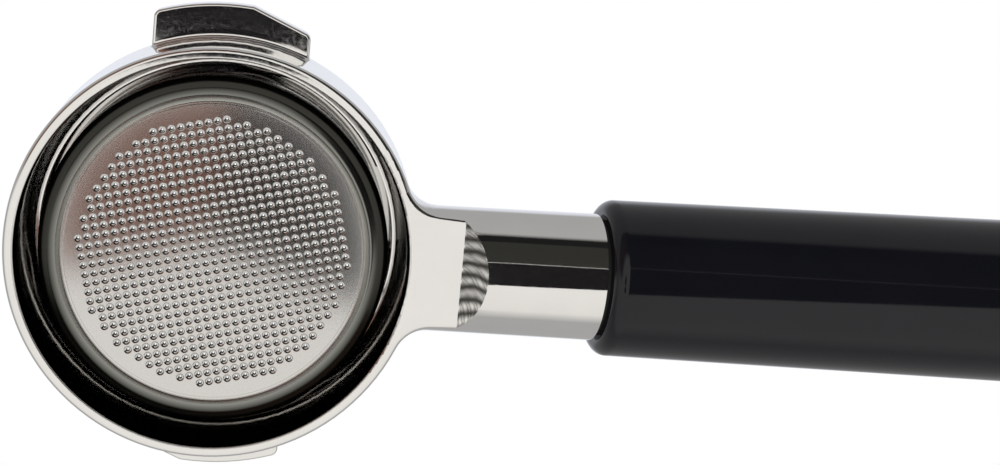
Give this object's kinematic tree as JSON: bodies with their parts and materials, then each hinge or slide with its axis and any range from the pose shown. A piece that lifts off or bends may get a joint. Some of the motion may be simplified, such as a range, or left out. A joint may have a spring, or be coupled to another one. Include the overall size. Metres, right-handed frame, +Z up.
{
  "type": "bottomless portafilter",
  "caption": "Bottomless espresso portafilter: chromed ring with bayonet lugs and neck, perforated steel filter basket held by a wire spring, and a black handle.",
  "frame": {"origin": "on the ring's axis, in the plane of the top of the basket's lip, where the group's gasket seals", "axes": "+Z up, out of the basket's mouth as the portafilter hangs in the machine; +X from the ring's axis towards the handle; the lugs lie on -Y and +Y"},
  "size_m": [0.2274, 0.084, 0.0434],
  "materials": {
    "casting": "polished chrome plate on brass",
    "basket": "polished stainless sheet with a fine grain",
    "spring": "drawn spring wire",
    "grip": "high gloss",
    "fastener": "zinc plated",
    "core": "turned",
    "seal": "matt"
  },
  "bodies": {
    "portafilter": {"portafilter_body": "casting", "seam_washer": "seal", "handle_grip": "grip", "core_tube": "core", "tie_rod": "fastener", "locating_pin": "fastener", "flat_washer": "fastener", "lock_washer": "fastener", "clamp_nut": "fastener", "end_cap": "grip", "cap_ring": "seal"},
    "spring": {"basket_spring": "spring"},
    "basket": {"filter_basket": "basket"}
  },
  "joints": [
    {"name": "basket_turn", "type": "hinge", "parent": "portafilter", "child": "spring", "pos_m": [0, 0, 0], "axis": [0, 0, 1], "continuous": true},
    {"name": "basket_lift", "type": "slide", "parent": "spring", "child": "basket", "axis": [0, 0, 1], "range_m": [0, 0.03]}
  ]
}
